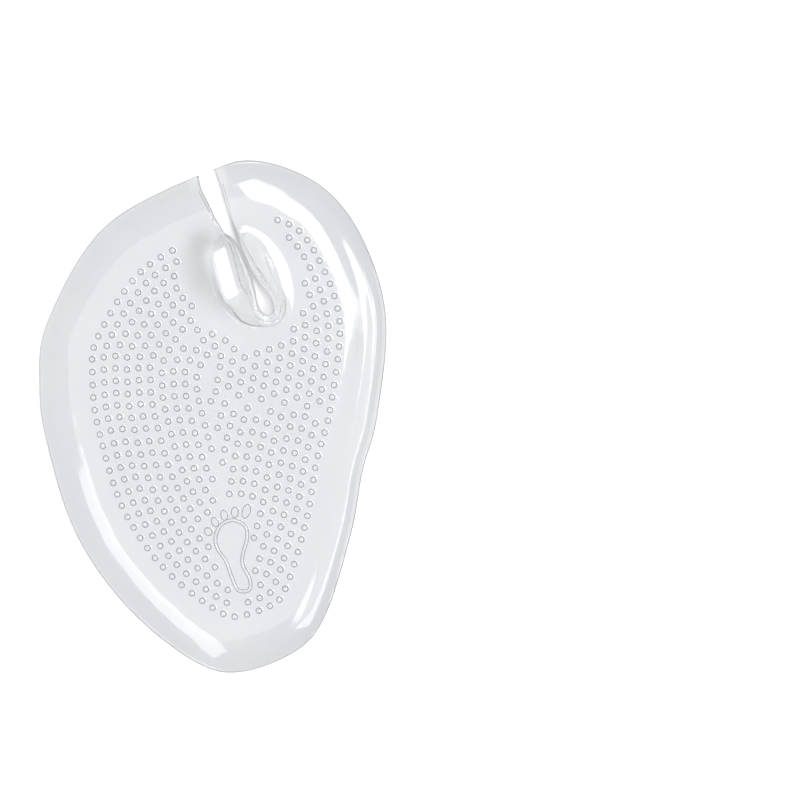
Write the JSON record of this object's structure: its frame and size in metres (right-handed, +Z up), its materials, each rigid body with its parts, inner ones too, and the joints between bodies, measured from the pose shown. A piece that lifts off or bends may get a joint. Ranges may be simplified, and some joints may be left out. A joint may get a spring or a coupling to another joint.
{
  "type": "silicone toe protector",
  "caption": "Clear gel forefoot pad with raised dots, a thin sloping border, and a front slit that leads into a soft split collar for a sandal's toe post.",
  "frame": {"origin": "on the underside, below the middle of the pad's length and width", "axes": "+Y towards the toes, +X towards the arch side of the left foot, +Z up from the flat underside"},
  "size_m": [0.0678, 0.1, 0.0107],
  "materials": {
    "clear_silicone": "clear soft silicone gel with a glossy moulded surface and a faint cool tint"
  },
  "bodies": {
    "root": {"gel_pad": "clear_silicone"}
  },
  "joints": []
}
